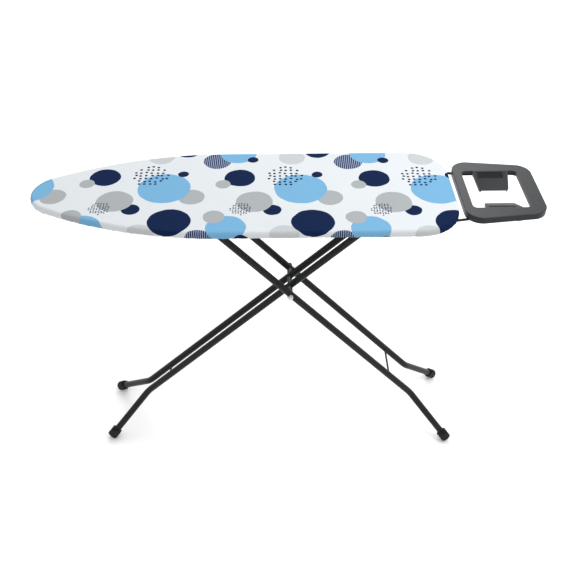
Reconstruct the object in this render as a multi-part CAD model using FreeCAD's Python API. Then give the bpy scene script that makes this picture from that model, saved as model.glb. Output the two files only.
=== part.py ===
import FreeCAD, Part
import math
import os

# Free-standing ironing board on a crossed tube stand, with an iron rest at its tail.
# Millimetres. +X runs from the nose to the iron rest, +Z is up and Z = 0 is the floor.
# The origin is on the floor under the middle of the whole length.
# "left" is the +Y side and "right" is the -Y side.

os.makedirs("parts", exist_ok=True)
V = FreeCAD.Vector
SIDES = {"left": 1, "right": -1}
UP = V(0, 0, 1)
ACROSS = V(0, 1, 0)

# Ironing surface
half_length = 664.0            # origin to the nose tip, and to the end of the iron rest
board_length = 1102.0
board_half_width = 190.0
board_top = 850.0
nose_radius = 82.0
taper_length = 500.0           # nose tip to where the sides run parallel
tail_radius = 112.0
cover_thickness = 1.0
pad_thickness = 5.0
edge_radius = 5.0
mesh_thickness = 1.0
rim_height = 11.0
rim_width = 14.0
rim_wall = 1.2
hem_width = 18.0
crossbar_width = 20.0
crossbar_height = 8.5
crossbar_wall = 1.2

# Stand
pivot_x = 10.0
pivot_height = 543.5
top_height = 808.0             # height of the hinge rod and of the sliding rod in use
tube_radius = 10.0
tube_wall = 1.2
bend_radius = 60.0
tube_overrun = 12.0            # tube beyond its top rod
rod_radius = 4.0
running_gap = 0.06             # radial clearance of a rod in the holes it turns in
body_gap = 0.3                 # side clearance between pieces that turn past each other
brace_radius = 3.0
LEGS = {
    "inner": {"toward": -1, "slope": 43.6, "half_gap": 21.5, "bend": 613.0, "foot": 768.0,
              "spread": 103.5, "brace": 510.0},
    "outer": {"toward": 1, "slope": 47.3, "half_gap": 60.0, "bend": 555.0, "foot": 720.0,
              "spread": 137.0, "brace": 450.0},
}
fold_angle = 40.8              # turn of the inner leg from standing to folded

# Hinge brackets, fixed outside the inner leg
bracket_face = 34.5            # from the centre line to the bracket's inner side
bracket_plate = 2.5
bracket_half_length = 20.0
bracket_eye = 12.0             # radius round the hinge rod
bracket_flange = 18.0

# Fasteners and rod ends
rivet_radius = 2.4
rivet_head = 4.2
rivet_head_height = 1.6
screw_radius = 1.8
screw_head = 3.6
screw_head_height = 2.2
screw_slot = 1.0
rod_cap_radius = 7.0
rod_cap_cover = 2.0            # closed end of a push cap beyond its rod
hinge_rod_half = 43.0
pivot_rod_overrun = 9.0        # pivot axle beyond the outer leg
slide_rod_overrun = 5.0
sleeve_radius = 7.0
washer_radius = 9.0
washer_thickness = 1.5

# Foot caps
cap_core_radius = 13.4
cap_rib_radius = 15.0
cap_rib_count = 12
cap_rib_width = 3.6
cap_length = 30.0
cap_floor = 7.0                # solid end beyond the tube
cap_collar = 6.0
cap_rounding = 2.5

# Height rack and its release lever
rail_half_gap = 38.0
rail_thickness = 2.0
rail_flange = 14.0
rail_depth = 44.0
rod_slack = 2.5                # height that the sliding rod may wander in the slot
notch_radius = 6.5
notch_count = 7
notch_drop = 2.5
latch_pin_radius = 2.5
latch_height = 820.0
comb_half_width = 27.0
comb_sheet = 1.5
comb_bottom = 815.0
comb_top = 823.5
comb_tooth_pitch = 32.0
comb_tooth_width = 16.0
lever_radius = 3.0
grip_radius = 8.0

# Iron rest
rest_start = 451.0
rest_top = 848.0
rest_half_width_inner = 141.0  # at the end next to the board
rest_half_width_outer = 114.0
rest_corner = 42.0
rest_edge = 2.4                # rounding of the top edge
rest_skin = 3.0
rest_skirt = 17.0
opening_start = 474.0
opening_end = 623.0
opening_half_width = 88.0
opening_corner = 12.0
opening_skirt = 9.0
tab_base = (505.0, 602.0)      # along X, where a tab leaves the frame
tab_tip = (518.0, 596.0)
tab_tip_y = 31.0
tab_drop = 25.0
tab_thickness = 4.0
tab_rib = 5.0                  # depth of the rib round a tab, below its plate
tab_rib_width = 2.5
tab_corner = 6.0
inset_depth = 2.0              # rubber block let into a tab
inset_thickness = 1.6
boss_places_x = (521.0, 588.0)
boss_half = (9.0, 8.0)         # along and across the board
boss_below_wire = 4.0
boss_screw_offset = 5.5
wire_radius = 3.5
wire_height = 827.0
wire_offset = 105.0            # from the centre line, under the rest
wire_offset_inner = 122.0      # from the centre line, under the board
wire_start = 282.0
wire_end = 640.0
wire_bend = 24.0
wire_straight = 105.0          # run under the board before the wire turns inwards
clamp_half = (9.0, 12.0)
clamp_below_wire = 6.0
clamp_screw_offset = 7.5

# Levels and places that follow from the sizes above
nose_x = -half_length
tail_x = nose_x + board_length
pad_top = board_top - cover_thickness
mesh_top_z = pad_top - pad_thickness
mesh_bottom = mesh_top_z - mesh_thickness
rim_bottom = mesh_top_z - rim_height
hem_bottom = rim_bottom - cover_thickness
rim_inset = cover_thickness + 0.2
crossbar_bottom = mesh_bottom - crossbar_height
pivot = V(pivot_x, 0, pivot_height)


def leg_reach(leg):
    """Length of a leg from the middle pivot up to its top rod."""
    return (top_height - pivot_height) / math.sin(math.radians(LEGS[leg]["slope"]))


def leg_down(leg):
    """Direction down a leg, in the plane across the board."""
    angle = math.radians(LEGS[leg]["slope"])
    return V(LEGS[leg]["toward"] * math.cos(angle), 0, -math.sin(angle))


hinge_at = pivot - leg_down("inner") * leg_reach("inner")
slide_at = pivot - leg_down("outer") * leg_reach("outer")
coupling = -(LEGS["inner"]["slope"] + LEGS["outer"]["slope"]) / LEGS["inner"]["slope"]


def slide_position(fold):
    """Place of the sliding rod when the inner leg has turned by fold degrees."""
    inner = math.radians(LEGS["inner"]["slope"] - fold)
    outer = math.radians(LEGS["outer"]["slope"] + (1 + coupling) * fold)
    x = hinge_at.x - leg_reach("inner") * math.cos(inner) - leg_reach("outer") * math.cos(outer)
    z = hinge_at.z - leg_reach("inner") * math.sin(inner) + leg_reach("outer") * math.sin(outer)
    return V(x, 0, z)


slide_folded = slide_position(fold_angle)
rail_start = slide_folded.x - 20.0
rail_end = slide_at.x + 38.0
latch_x = slide_at.x + 20.0
crossbar_places = {
    "crossbar_rack_nose": rail_start + crossbar_width / 2,
    "crossbar_rack_tail": rail_end - crossbar_width / 2,
    "crossbar_middle": 45.0,
    "crossbar_hinge": hinge_at.x,
    "crossbar_tail": tail_x - 60.0,
}


# ---- small helpers

def save(name, shape):
    """Write one node, after making sure that each of its solids is sound."""
    for solid in shape.Solids:
        if not solid.isValid() or not solid.isClosed():
            raise ValueError(name + " has a bad solid")
    shape.exportStep("parts/" + name + ".step")
    print(name, len(shape.Solids), round(shape.Volume / 1000, 2), "cm3")


def box(low, high):
    return Part.makeBox(high[0] - low[0], high[1] - low[1], high[2] - low[2], V(*low))


def cross_rod(radius, half_span, at, inner=0.0):
    """Round bar or sleeve along Y, centred on the mid-plane."""
    start = V(at.x, -half_span, at.z)
    bar = Part.makeCylinder(radius, 2 * half_span, start, ACROSS)
    if inner:
        bar = bar.cut(Part.makeCylinder(inner, 2 * half_span, start, ACROSS))
    return bar


def cross_ring(radius, inner, y_from, y_to, at, side):
    """Washer, sleeve or cap along Y on one side of the mid-plane."""
    start = V(at.x, side * y_from, at.z)
    ring = Part.makeCylinder(radius, y_to - y_from, start, ACROSS * side)
    if inner:
        ring = ring.cut(Part.makeCylinder(inner, y_to - y_from, start, ACROSS * side))
    return ring


def bent_path(points, radius):
    """Straight runs through the points, joined by tangent arcs of one radius."""
    edges = []
    start = points[0]
    for before, corner, after in zip(points, points[1:], points[2:]):
        into = (corner - before).normalize()
        out = (after - corner).normalize()
        turn = into.getAngle(out)
        trim = radius * math.tan(turn / 2)
        first = corner - into * trim
        last = corner + out * trim
        inward = (out - into).normalize()
        middle = corner + inward * (radius / math.cos(turn / 2) - radius)
        edges.append(Part.LineSegment(start, first).toShape())
        edges.append(Part.Arc(first, middle, last).toShape())
        start = last
    edges.append(Part.LineSegment(start, points[-1]).toShape())
    return Part.Wire(edges)


def swept_rod(path, points, radius):
    """Round bar of one radius along a path."""
    ring = Part.Wire(Part.makeCircle(radius, points[0], points[1] - points[0]))
    return path.makePipeShell([ring], True, False)


def round_end(shape, direction, radius):
    """Round the circular edge that lies furthest along a direction."""
    rings = [edge for edge in shape.Edges if edge.isClosed()]
    return shape.makeFillet(radius, [max(rings, key=lambda edge: edge.CenterOfMass.dot(direction))])


def polygon_solid(points, direction):
    """Prism on a closed outline of points."""
    return Part.Face(Part.makePolygon(points + [points[0]])).extrude(direction)


def rounded_outline(points, radii, z):
    """Closed outline with its own corner radius at each point."""
    count = len(points)
    corners = [V(x, y, z) for x, y in points]
    edges = []
    joints = []
    for index, corner in enumerate(corners):
        before = corners[index - 1]
        after = corners[(index + 1) % count]
        into = (corner - before).normalize()
        out = (after - corner).normalize()
        turn = into.getAngle(out)
        trim = radii[index] * math.tan(turn / 2)
        inward = (out - into).normalize()
        middle = corner + inward * (radii[index] / math.cos(turn / 2) - radii[index])
        joints.append((corner - into * trim, middle, corner + out * trim))
    for index, (first, middle, last) in enumerate(joints):
        following = joints[(index + 1) % count][0]
        edges.append(Part.Arc(first, middle, last).toShape())
        edges.append(Part.LineSegment(last, following).toShape())
    return Part.Face(Part.Wire(edges))


# ---- board: cover, pad, mesh, rim and crossbars

def board_face(inset, z):
    """Plan of the board, drawn in by inset: round nose, long tapering arcs, round tail corners."""
    half = board_half_width - inset
    taper_radius = ((taper_length - nose_radius) ** 2 + board_half_width ** 2 - nose_radius ** 2)
    taper_radius = taper_radius / (2 * (board_half_width - nose_radius))
    nose_centre = V(nose_x + nose_radius, 0, z)
    taper_centre = V(nose_x + taper_length, board_half_width - taper_radius, z)
    toward_nose = (nose_centre - taper_centre).normalize()
    meet = taper_centre + toward_nose * (taper_radius - inset)
    bisector = (toward_nose + ACROSS).normalize()
    taper_middle = taper_centre + bisector * (taper_radius - inset)
    parallel_start = V(nose_x + taper_length, half, z)
    corner_centre = V(tail_x - tail_radius, board_half_width - tail_radius, z)
    corner_start = V(corner_centre.x, half, z)
    corner_middle = corner_centre + V(1, 1, 0).normalize() * (tail_radius - inset)
    corner_end = V(tail_x - inset, corner_centre.y, z)

    def mirror(point):
        return V(point.x, -point.y, point.z)

    edges = [
        Part.Arc(mirror(meet), V(nose_x + inset, 0, z), meet),
        Part.Arc(meet, taper_middle, parallel_start),
        Part.LineSegment(parallel_start, corner_start),
        Part.Arc(corner_start, corner_middle, corner_end),
        Part.LineSegment(corner_end, mirror(corner_end)),
        Part.Arc(mirror(corner_end), mirror(corner_middle), mirror(corner_start)),
        Part.LineSegment(mirror(corner_start), mirror(parallel_start)),
        Part.Arc(mirror(parallel_start), mirror(taper_middle), mirror(meet)),
    ]
    return Part.Face(Part.Wire([edge.toShape() for edge in edges]))


def slab(inset, bottom, top, top_edge=0.0):
    """Board-shaped plate, with its top edge rounded if asked."""
    plate = board_face(inset, bottom).extrude(V(0, 0, top - bottom))
    if top_edge:
        rim = [edge for edge in plate.Edges if edge.BoundBox.ZMin > top - 0.01]
        plate = plate.makeFillet(top_edge, rim)
    return plate


def make_cover():
    """Cover: top, rounded edge, side wall and the hem turned under the rim."""
    outside = slab(0, hem_bottom, board_top, edge_radius)
    inside = slab(cover_thickness, rim_bottom, pad_top, edge_radius - cover_thickness)
    return outside.cut(inside).cut(slab(hem_width, hem_bottom - 1, rim_bottom + 1))


def make_pad():
    return slab(rim_inset, mesh_top_z, pad_top, edge_radius - rim_inset)


def make_rim():
    """Pressed edge channel, open inwards."""
    wall = slab(rim_inset, rim_bottom, mesh_top_z)
    wall = wall.cut(slab(rim_inset + rim_wall, mesh_bottom, mesh_top_z + 1))
    groove = slab(rim_inset + rim_wall, rim_bottom + rim_wall, mesh_bottom - rim_wall)
    return wall.cut(groove).cut(slab(rim_width, rim_bottom - 1, mesh_top_z + 1))


def make_crossbar(x, rim):
    """Flat box section across the board, its ends running into the edge channel."""
    half = crossbar_width / 2
    outer = box((x - half, -board_half_width, crossbar_bottom), (x + half, board_half_width, mesh_bottom))
    hollow = box((x - half + crossbar_wall, -board_half_width, crossbar_bottom + crossbar_wall),
                 (x + half - crossbar_wall, board_half_width, mesh_bottom - crossbar_wall))
    reach = slab(rim_inset + rim_wall + 2, rim_bottom, mesh_top_z)
    return outer.cut(hollow).common(reach).cut(rim)


# ---- board: hinge brackets, height rack and rest wire

def make_hinge_bracket(side):
    """Angle plate under the hinge crossbar, holding the hinge rod outside a leg tube."""
    near = hinge_at.x - bracket_half_length
    far = hinge_at.x + bracket_half_length
    outline = [V(near, side * bracket_face, crossbar_bottom),
               V(hinge_at.x - bracket_eye, side * bracket_face, hinge_at.z),
               V(hinge_at.x + bracket_eye, side * bracket_face, hinge_at.z),
               V(far, side * bracket_face, crossbar_bottom)]
    web = polygon_solid(outline, ACROSS * side * bracket_plate)
    outer_face = bracket_face + bracket_plate
    web = web.fuse(cross_ring(bracket_eye, 0, bracket_face, outer_face, hinge_at, side))
    low, high = sorted((side * bracket_face, side * (bracket_face + bracket_flange)))
    flange = box((near, low, crossbar_bottom - bracket_plate), (far, high, crossbar_bottom))
    hole = cross_ring(rod_radius + running_gap, 0, bracket_face - 1, outer_face + 1, hinge_at, side)
    return web.fuse(flange).cut(hole).removeSplitter()


def make_rail(side):
    """Rack rail: an angle with a long slot, notched along its lower edge."""
    low, high = sorted((side * rail_half_gap, side * (rail_half_gap + rail_thickness)))
    web = box((rail_start, low, crossbar_bottom - rail_depth), (rail_end, high, crossbar_bottom))
    low, high = sorted((side * rail_half_gap, side * (rail_half_gap + rail_flange)))
    flange = box((rail_start, low, crossbar_bottom - rail_thickness), (rail_end, high, crossbar_bottom))
    half_slot = rod_radius + rod_slack
    middle = V((slide_at.x + slide_folded.x) / 2, 0, slide_at.z)
    half_travel = (slide_at.x - slide_folded.x) / 2
    slot = box((middle.x - half_travel, -60, middle.z - half_slot),
               (middle.x + half_travel, 60, middle.z + half_slot))
    for end in (-half_travel, half_travel):
        slot = slot.fuse(cross_rod(half_slot, 60, V(middle.x + end, 0, middle.z)))
    for step in range(notch_count):
        notch_x = slide_at.x - 2 * half_travel * step / (notch_count - 1)
        slot = slot.fuse(cross_rod(notch_radius, 60, V(notch_x, 0, middle.z - notch_drop)))
    pin_hole = cross_rod(latch_pin_radius, 60, V(latch_x, 0, latch_height))
    return web.fuse(flange).cut(slot).cut(pin_hole).removeSplitter()


def rivets(places, z_head, z_end):
    """Round-headed rivets, heads down."""
    group = []
    for x, y in places:
        shank = Part.makeCylinder(rivet_radius, z_end - z_head, V(x, y, z_head), UP)
        button = Part.makeCylinder(rivet_head, rivet_head_height, V(x, y, z_head - rivet_head_height), UP)
        button = round_end(button, UP * -1, rivet_head_height * 0.7)
        group.append(shank.fuse(button).removeSplitter())
    return Part.makeCompound(group)


def pierce(shape, places):
    """Cut the rivet holes that a group of rivets fills."""
    for x, y in places:
        shape = shape.cut(Part.makeCylinder(rivet_radius, 60, V(x, y, crossbar_bottom - 30), UP))
    return shape


def wire_points():
    """Centre line of the rest wire, one U from under the board round the far end of the rest."""
    half = [V(wire_start, wire_offset_inner, wire_height),
            V(wire_start + wire_straight, wire_offset_inner, wire_height),
            V(rest_start + 30, wire_offset, wire_height),
            V(wire_end, wire_offset, wire_height)]
    return half + [V(point.x, -point.y, point.z) for point in reversed(half)]


def make_clamp(x, side, wire):
    """Moulded saddle that hangs the rest wire from a crossbar."""
    half_x, half_y = clamp_half
    y = side * wire_offset_inner
    block = box((x - half_x, y - half_y, wire_height - clamp_below_wire),
                (x + half_x, y + half_y, crossbar_bottom))
    corners = [edge for edge in block.Edges if edge.BoundBox.ZLength > 5]
    return block.makeFillet(3, corners).cut(wire)


# ---- stand

def leg_points(leg, side, lower_end):
    """Top end, bend and lower end of a leg tube's centre line."""
    spec = LEGS[leg]
    down = leg_down(leg)
    gap = ACROSS * side * spec["half_gap"]
    top = pivot - down * (leg_reach(leg) + tube_overrun) + gap
    bend = pivot + down * spec["bend"] + gap
    foot = pivot + down * spec["foot"] + ACROSS * side * spec["spread"]
    out = (foot - bend).normalize()
    return [top, bend, foot + out * lower_end]


def make_leg_tube(leg, side):
    """Bent tube with its holes for the middle axle and the top rod."""
    points = leg_points(leg, side, 2.0)
    path = bent_path(points, bend_radius)
    tube = swept_rod(path, points, tube_radius)
    tube = tube.cut(swept_rod(path, points, tube_radius - tube_wall))
    axle_gap = 0.0 if leg == "inner" else running_gap
    top_rod = hinge_at if leg == "inner" else slide_at
    tube = tube.cut(cross_rod(rod_radius + axle_gap, 90, pivot))
    return tube.cut(cross_rod(rod_radius, 90, top_rod))


def make_foot_cap(leg, side):
    """Ribbed sleeve over a tube's end, cut level where it stands on the floor."""
    points = leg_points(leg, side, 2.0)
    out = (points[2] - points[1]).normalize()
    end = points[2] + out * cap_floor
    start = end - out * cap_length
    cap = Part.makeCylinder(cap_core_radius, cap_length - cap_collar, start, out)
    collar = Part.makeCylinder(cap_rib_radius, cap_collar, end - out * cap_collar, out)
    collar = round_end(collar, out, cap_rounding)
    ribs = []
    for index in range(cap_rib_count):
        rib = box((-cap_rib_width / 2, cap_core_radius - 2, 0),
                  (cap_rib_width / 2, cap_rib_radius, cap_length - cap_collar))
        rib.rotate(V(0, 0, 0), UP, 360.0 * index / cap_rib_count)
        rib.Placement = FreeCAD.Placement(start, FreeCAD.Rotation(UP, out)).multiply(rib.Placement)
        ribs.append(rib)
    cap = cap.fuse([collar] + ribs).removeSplitter()
    cap = cap.cut(Part.makeCylinder(tube_radius, cap_length - cap_floor, start, out))
    return cap.common(box((-1000, -300, 0), (1000, 300, 200)))


def make_brace(leg, tubes):
    """Thin rod welded between the two tubes of a leg."""
    at = pivot + leg_down(leg) * LEGS[leg]["brace"]
    rod = cross_rod(brace_radius, LEGS[leg]["half_gap"], at)
    for tube in tubes:
        rod = rod.cut(tube)
    return Part.makeCompound([max(rod.Solids, key=lambda solid: solid.Volume)])


def make_plugs(leg):
    """Plastic plugs in the top ends of a leg's tubes."""
    plugs = []
    for side in SIDES.values():
        top = leg_points(leg, side, 0)[0]
        down = leg_down(leg)
        head = Part.makeCylinder(tube_radius, 2.0, top, down * -1)
        head = round_end(head, down * -1, 1.5)
        stem = Part.makeCylinder(tube_radius - tube_wall, 6.0, top, down)
        plugs.append(head.fuse(stem).removeSplitter())
    return Part.makeCompound(plugs)


def make_cap_nuts(at, y_from, y_to, radius, rod_end):
    """Domed push caps on both ends of a rod."""
    caps = []
    for side in SIDES.values():
        cap = cross_ring(radius, 0, y_from, y_to, at, side)
        cap = round_end(cap, ACROSS * side, (y_to - y_from) * 0.6)
        caps.append(cap.cut(cross_ring(rod_radius, 0, y_from - 1, rod_end, at, side)))
    return Part.makeCompound(caps)


def make_pair(radius, inner, y_from, y_to, at):
    """The same ring on both sides."""
    return Part.makeCompound([cross_ring(radius, inner, y_from, y_to, at, side) for side in SIDES.values()])


# ---- latch

def make_comb():
    """Pressed channel with teeth down both sides, hinged on the latch pin."""
    nose_end = slide_folded.x + 8
    tail_end = latch_x + 8
    pin_at = V(latch_x, 0, latch_height)
    web = box((nose_end, -comb_half_width, comb_top - comb_sheet), (latch_x - 12, comb_half_width, comb_top))
    comb = web
    for side in SIDES.values():
        low, high = sorted((side * (comb_half_width - comb_sheet), side * comb_half_width))
        cheek = box((nose_end, low, comb_bottom), (tail_end, high, comb_top))
        ear = cross_ring(6.0, 0, comb_half_width - comb_sheet, comb_half_width, pin_at, side)
        comb = comb.fuse([cheek, ear])
    gap = comb_tooth_pitch - comb_tooth_width
    place = nose_end + comb_tooth_width
    while place + gap < latch_x - 16:
        comb = comb.cut(box((place, -60, comb_bottom - 1), (place + gap, 60, comb_bottom + 4)))
        place += comb_tooth_pitch
    comb = comb.cut(cross_rod(latch_pin_radius + running_gap, 60, pin_at))
    return comb.removeSplitter()


def lever_points():
    """Centre line of the lever rod, from under the comb round the rack to the grip."""
    level = comb_top - comb_sheet - lever_radius
    end = rail_start - 14
    return [V(end + 90, 0, level), V(end, 0, level), V(end, -86, level - 5), V(end + 92, -113, level - 8)]


def make_grip(rod):
    """Moulded grip over the free end of the lever rod."""
    points = lever_points()
    along = (points[3] - points[2]).normalize()
    start = points[2] + along * 22
    length = (points[3] - start).Length + 4
    grip = Part.makeCylinder(grip_radius, length, start, along)
    grip = round_end(round_end(grip, along, grip_radius * 0.45), along * -1, grip_radius * 0.45)
    return grip.cut(rod)


# ---- iron rest

def rest_face(inset, z):
    """Plan of the rest's frame, a little narrower at its outer end."""
    inner = rest_half_width_inner - inset
    outer = rest_half_width_outer - inset
    start = rest_start + inset
    end = half_length - inset
    points = [(start, -inner), (end, -outer), (end, outer), (start, inner)]
    return rounded_outline(points, [rest_corner - inset] * 4, z)


def opening_face(inset, z):
    """Plan of the opening, drawn in by inset."""
    half = opening_half_width - inset
    points = [(opening_start + inset, -half), (opening_end - inset, -half),
              (opening_end - inset, half), (opening_start + inset, half)]
    return rounded_outline(points, [opening_corner - inset] * 4, z)


def prism(face, depth):
    return face.extrude(V(0, 0, -depth))


def tab_solid(side, thickness, shrink=0.0):
    """Sloping tab from the opening's long side down towards the middle, with rounded tip corners."""
    fall = V(0, -side * (opening_half_width - tab_tip_y), -tab_drop)
    normal = V(0, -side * tab_drop, opening_half_width - tab_tip_y).normalize()
    base = [V(tab_base[0] + shrink, side * opening_half_width, rest_top),
            V(tab_base[1] - shrink, side * opening_half_width, rest_top)]
    tip = [V(tab_tip[1] - shrink, 0, 0), V(tab_tip[0] + shrink, 0, 0)]
    low = [V(point.x, base[0].y + fall.y, base[0].z + fall.z) for point in tip]
    tab = polygon_solid(base + low, normal * -thickness)
    tip_edges = [edge for edge in tab.Edges
                 if abs(edge.Length - thickness) < 0.01 and abs(edge.CenterOfMass.y) < tab_tip_y + thickness]
    return tab.makeFillet(tab_corner - shrink, tip_edges)


def pad_block(side, thickness):
    """Long low rubber block let into a tab, near its base."""
    run = opening_half_width - tab_tip_y
    normal = V(0, -side * tab_drop, run).normalize()
    down = V(0, -side * run, -tab_drop).normalize()
    ends = (tab_base[0] + 13, tab_base[1] - 15)
    root = V(0, side * opening_half_width, rest_top)
    reach = (4, 24)
    outline = [V(x, 0, 0) + root + down * s - normal * inset_depth for x, s in
               ((ends[0], reach[0]), (ends[1], reach[0]), (ends[1], reach[1]), (ends[0], reach[1]))]
    return polygon_solid(outline, normal * thickness)


def make_tray(wire):
    """Moulded frame: skin, skirts, two sloping tabs and the bosses that sit on the wire."""
    tray = prism(rest_face(0, rest_top), rest_skirt)
    top_edges = [edge for edge in tray.Edges if edge.BoundBox.ZMin > rest_top - 0.01]
    tray = tray.makeFillet(rest_edge, top_edges)
    hollow = prism(rest_face(rest_skin, rest_top - rest_skin), rest_skirt)
    skirt = prism(opening_face(-rest_skin, rest_top - rest_skin), opening_skirt - rest_skin)
    tray = tray.cut(hollow).fuse(skirt).cut(prism(opening_face(0, rest_top + 1), 60))
    for side in SIDES.values():
        tab = tab_solid(side, tab_thickness)
        deep = tab_thickness + tab_rib
        inside = tab_solid(side, deep, shrink=tab_rib_width).cut(tab)
        tray = tray.fuse(tab_solid(side, deep).cut(inside))
    for side in SIDES.values():
        tray = tray.cut(pad_block(side, 6.0))
    half_x, half_y = boss_half
    for x, y in boss_places():
        boss = box((x - half_x, y - half_y, wire_height - boss_below_wire),
                   (x + half_x, y + half_y, rest_top - rest_skin))
        tray = tray.fuse(boss)
    return tray.cut(wire).removeSplitter()


def boss_places():
    return [(x, side * wire_offset) for x in boss_places_x for side in SIDES.values()]


def make_screws(places, z_head, length):
    """Pan-head screws, heads down."""
    group = []
    for x, y in places:
        shank = Part.makeCylinder(screw_radius, length, V(x, y, z_head), UP)
        head = Part.makeCylinder(screw_head, screw_head_height, V(x, y, z_head - screw_head_height), UP)
        half = screw_slot / 2
        slot_top = z_head - screw_head_height + 0.8
        slot = box((x - half, y - 5, z_head - 3), (x + half, y + 5, slot_top))
        cross = box((x - 5, y - half, z_head - 3), (x + 5, y + half, slot_top))
        group.append(shank.fuse(head).cut(slot).cut(cross).removeSplitter())
    return Part.makeCompound(group)


def drill(shape, places, z_low, z_high):
    for x, y in places:
        shape = shape.cut(Part.makeCylinder(screw_radius, z_high - z_low, V(x, y, z_low), UP))
    return shape


# ---- build every node

def build_board():
    rim = make_rim()
    save("cover", make_cover())
    save("underlay_pad", make_pad())
    save("mesh_top", slab(rim_inset + rim_wall, mesh_bottom, mesh_top_z))
    save("board_rim", rim)

    bracket_y = bracket_face + 11
    bracket_places = [(hinge_at.x, side * bracket_y) for side in SIDES.values()]
    rail_y = rail_half_gap + 8
    rack_bars = ("crossbar_rack_nose", "crossbar_rack_tail")
    rail_places = [(crossbar_places[bar], side * rail_y) for bar in rack_bars for side in SIDES.values()]
    clamp_bars = ("crossbar_hinge", "crossbar_tail")
    clamp_places = [(crossbar_places[bar], side * (wire_offset_inner - clamp_screw_offset))
                    for bar in clamp_bars for side in SIDES.values()]

    for name, x in crossbar_places.items():
        bar = pierce(make_crossbar(x, rim), bracket_places + rail_places)
        save(name, drill(bar, clamp_places, crossbar_bottom - 1, mesh_bottom - 1))
    for name, side in SIDES.items():
        save("hinge_bracket_" + name, pierce(make_hinge_bracket(side), bracket_places))
        save("rack_rail_" + name, pierce(make_rail(side), rail_places))
    save("hinge_rivets", rivets(bracket_places, crossbar_bottom - bracket_plate, mesh_bottom - 1))
    save("rack_rivets", rivets(rail_places, crossbar_bottom - rail_thickness, mesh_bottom - 1))

    pin_at = V(latch_x, 0, latch_height)
    save("latch_pin", cross_rod(latch_pin_radius, rail_half_gap + rail_thickness + 2, pin_at))
    save("latch_spring", cross_rod(5.0, 9.0, pin_at, latch_pin_radius + 0.4))

    points = wire_points()
    wire = swept_rod(bent_path(points, wire_bend), points, wire_radius)
    save("rest_wire", wire)
    clamps = []
    clamp_bottom = wire_height - clamp_below_wire
    for bar in clamp_bars:
        for side in SIDES.values():
            clamp = make_clamp(crossbar_places[bar], side, wire)
            clamps.append(drill(clamp, clamp_places, clamp_bottom - 1, crossbar_bottom + 1))
    save("wire_clamps", Part.makeCompound(clamps))
    save("clamp_screws", make_screws(clamp_places, clamp_bottom, mesh_bottom - 2 - clamp_bottom))

    tray_screws = [(x, y + math.copysign(boss_screw_offset, y)) for x, y in boss_places()]
    boss_bottom = wire_height - boss_below_wire
    tray = drill(make_tray(wire), tray_screws, boss_bottom - 1, rest_top - rest_skin)
    save("iron_rest_tray", tray)
    save("tray_screws", make_screws(tray_screws, boss_bottom, 16.0))
    for name, side in SIDES.items():
        save("rest_pad_" + name, pad_block(side, inset_thickness))


def build_inner_leg():
    tubes = []
    for name, side in SIDES.items():
        tubes.append(make_leg_tube("inner", side))
        save("inner_tube_" + name, tubes[-1])
        save("inner_foot_cap_" + name, make_foot_cap("inner", side))
    save("inner_brace", make_brace("inner", tubes))
    save("inner_tube_plugs", drill_rod(make_plugs("inner"), hinge_at))
    save("hinge_rod", cross_rod(rod_radius, hinge_rod_half, hinge_at))
    inner_face = LEGS["inner"]["half_gap"] + tube_radius
    save("hinge_washers", make_pair(sleeve_radius + 0.5, rod_radius, inner_face,
                                    bracket_face - body_gap, hinge_at))
    save("hinge_rod_caps", make_cap_nuts(hinge_at, bracket_face + bracket_plate + body_gap,
                                         hinge_rod_half + rod_cap_cover, rod_cap_radius, hinge_rod_half))

    outer_face = LEGS["outer"]["half_gap"] - tube_radius
    far_face = LEGS["outer"]["half_gap"] + tube_radius
    axle_half = far_face + pivot_rod_overrun
    save("pivot_axle", cross_rod(rod_radius, axle_half, pivot))
    middle = LEGS["inner"]["half_gap"] - tube_radius
    save("centre_sleeve", cross_rod(sleeve_radius, middle, pivot, rod_radius))
    save("side_sleeves", make_pair(sleeve_radius, rod_radius, inner_face, outer_face - body_gap, pivot))
    washer_face = far_face + body_gap + washer_thickness
    save("pivot_washers", make_pair(washer_radius, rod_radius, far_face + body_gap, washer_face, pivot))
    save("pivot_cap_nuts", make_cap_nuts(pivot, washer_face, axle_half + 3.0,
                                         rod_cap_radius + 0.5, axle_half))


def drill_rod(shape, at):
    return shape.cut(cross_rod(rod_radius, 90, at))


def build_outer_leg():
    tubes = []
    for name, side in SIDES.items():
        tubes.append(make_leg_tube("outer", side))
        save("outer_tube_" + name, tubes[-1])
        save("outer_foot_cap_" + name, make_foot_cap("outer", side))
    save("outer_brace", make_brace("outer", tubes))
    save("outer_tube_plugs", drill_rod(make_plugs("outer"), slide_at))
    far_face = LEGS["outer"]["half_gap"] + tube_radius
    rod_half = far_face + slide_rod_overrun
    save("slide_rod", cross_rod(rod_radius, rod_half, slide_at))
    save("slide_rod_caps", make_cap_nuts(slide_at, far_face, rod_half + rod_cap_cover,
                                         rod_cap_radius, rod_half))


def build_latch():
    points = lever_points()
    rod = swept_rod(bent_path(points, 16.0), points, lever_radius)
    save("latch_comb", make_comb())
    save("lever_rod", rod)
    save("lever_grip", make_grip(rod))


build_board()
build_inner_leg()
build_outer_leg()
build_latch()
print("hinge rod", hinge_at, "sliding rod", slide_at, "folded", slide_folded)
print("coupling", round(coupling, 4), "wander", [round(slide_position(fold).z - top_height, 2)
                                                  for fold in (0, 10, 20, 30, fold_angle)])
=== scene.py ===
import bpy
import bmesh
import math
from mathutils import Euler, Matrix, Vector, noise


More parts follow.
